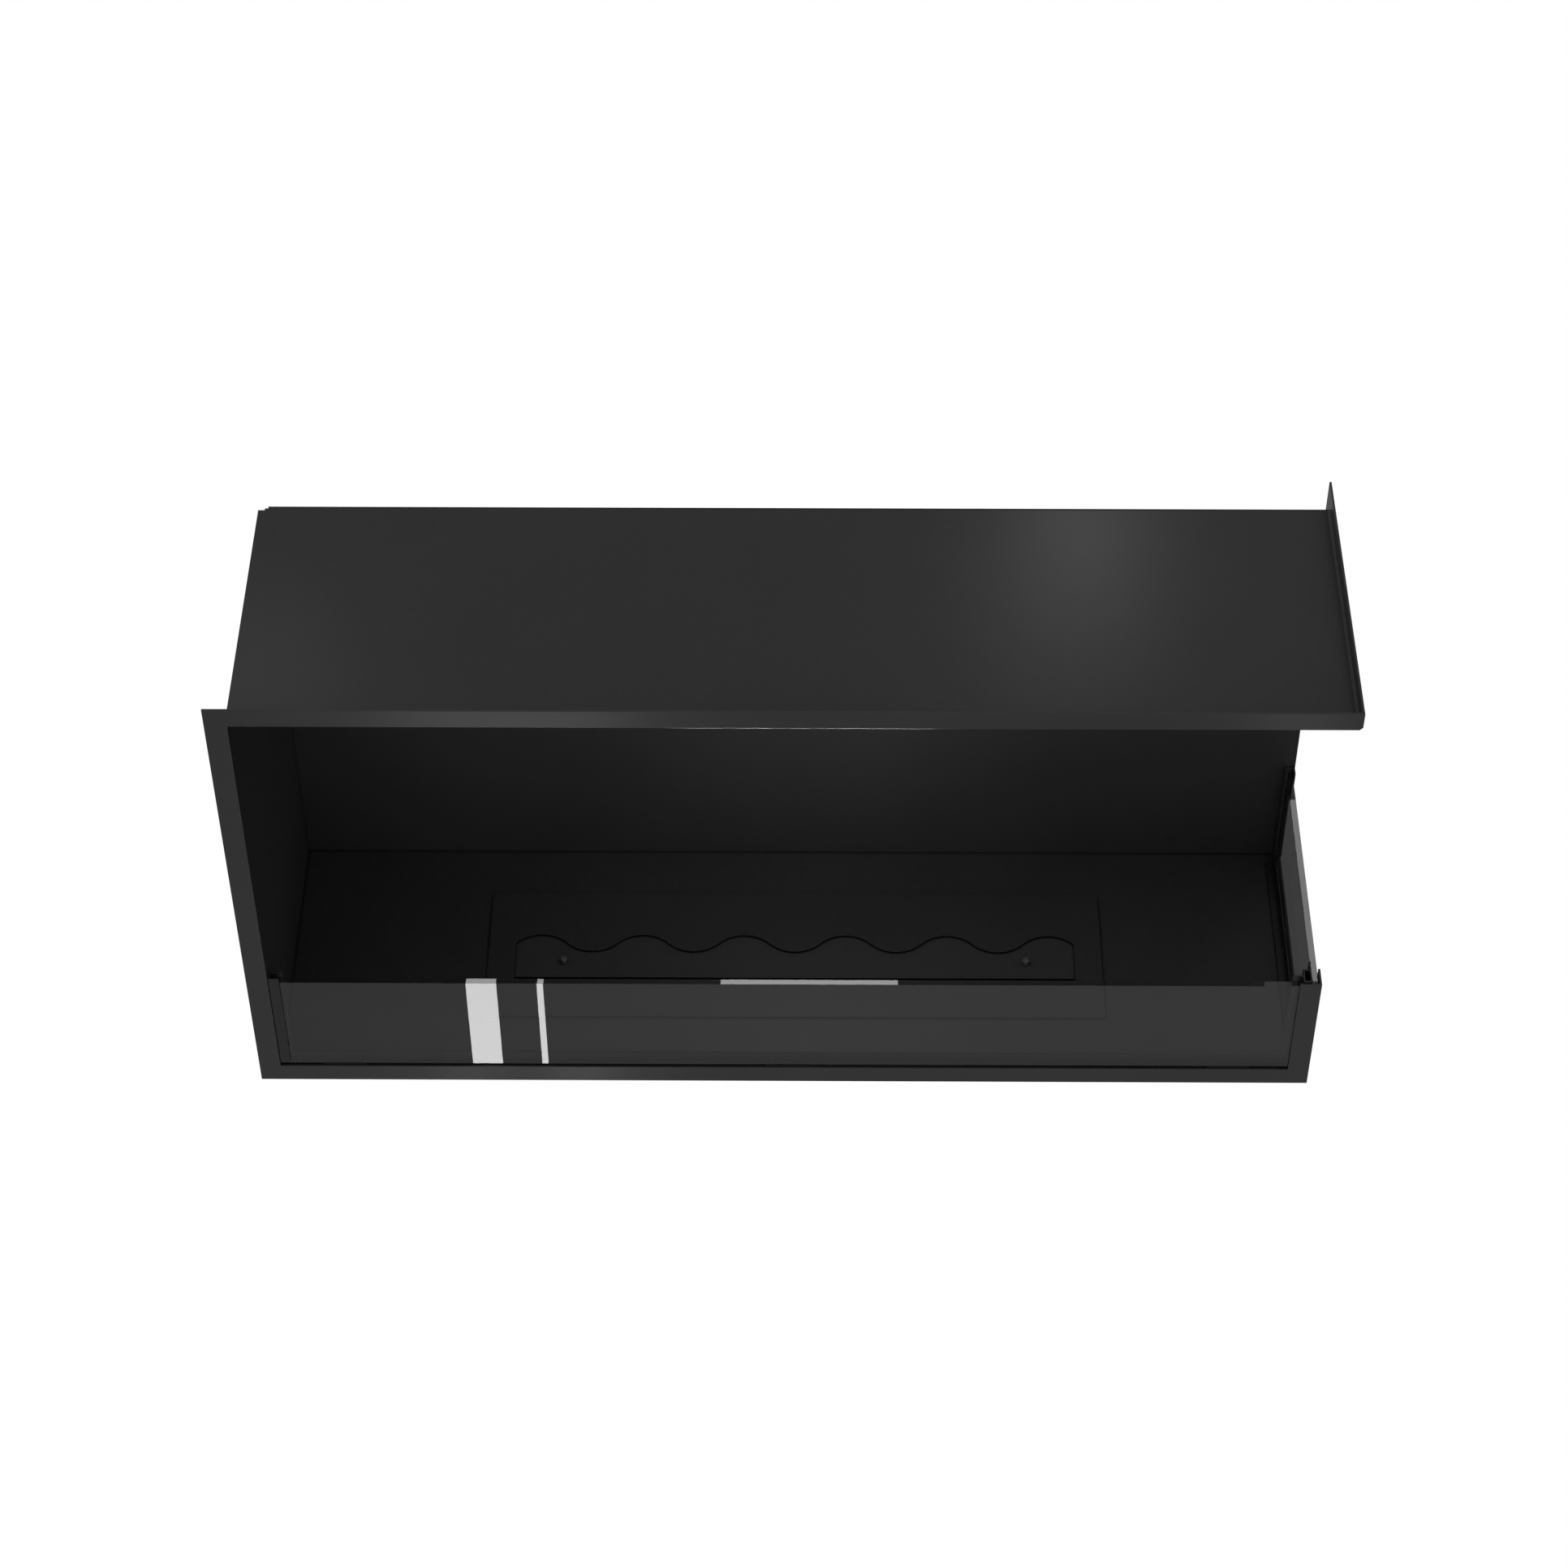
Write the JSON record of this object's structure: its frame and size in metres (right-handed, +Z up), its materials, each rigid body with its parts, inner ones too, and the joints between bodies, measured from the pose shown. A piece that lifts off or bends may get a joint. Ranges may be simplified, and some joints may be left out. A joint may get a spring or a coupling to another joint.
{
  "type": "built-in bioethanol fireplace insert",
  "caption": "Built-in corner fireplace insert with an open front and right side, glass guards that lift out, and a drop-in fuel burner with a wave-edged sliding damper.",
  "frame": {"origin": "middle of the overall box, at its lowest face, the underside of the burner well", "axes": "+X along the width towards the open side, +Y from the front frame to the back, +Z up"},
  "size_m": [1, 0.3, 0.52],
  "materials": {
    "trim_coating": "satin black powder coat",
    "casing_coating": "matt black powder coat",
    "channel_coating": "matt black powder coat",
    "burner_coating": "matt black powder coat",
    "knob_coating": "satin black",
    "guard_glass": "clear tempered glass, polished edges",
    "tank_steel": "brushed stainless steel",
    "screw_steel": "zinc-plated steel",
    "pad_silicone": "black silicone",
    "wool_fibre": "white ceramic fibre"
  },
  "bodies": {
    "casing": {"front_frame": "trim_coating", "side_frame": "trim_coating", "top_panel": "casing_coating", "back_panel": "casing_coating", "left_side_panel": "casing_coating", "floor_panel": "casing_coating", "burner_well": "casing_coating", "glass_channel_left": "channel_coating", "glass_channel_rear": "channel_coating", "glass_channel_corner": "channel_coating", "front_glass_rail": "channel_coating", "side_glass_rail": "channel_coating", "front_glass_pads": "pad_silicone", "side_glass_pads": "pad_silicone"},
    "front_guard": {"front_glass": "guard_glass"},
    "side_guard": {"side_glass": "guard_glass"},
    "burner": {"burner_cover": "burner_coating", "burner_box": "burner_coating", "fuel_tank": "tank_steel", "flame_slot_plate": "tank_steel", "ceramic_wool": "wool_fibre", "damper_rail_left": "tank_steel", "damper_rail_right": "tank_steel"},
    "damper_slide_body": {"damper": "burner_coating", "damper_knob_left": "knob_coating", "damper_knob_right": "knob_coating", "knob_screws": "screw_steel"}
  },
  "joints": [
    {"name": "front_glass_lift", "type": "slide", "parent": "casing", "child": "front_guard", "axis": [0, 0, 1], "range_m": [0, 0.13]},
    {"name": "side_glass_lift", "type": "slide", "parent": "casing", "child": "side_guard", "axis": [0, 0, 1], "range_m": [0, 0.13]},
    {"name": "burner_lift", "type": "slide", "parent": "casing", "child": "burner", "axis": [0, 0, 1], "range_m": [0, 0.06]},
    {"name": "damper_slide", "type": "slide", "parent": "burner", "child": "damper_slide_body", "axis": [0, -1, 0], "range_m": [0, 0.018]}
  ]
}
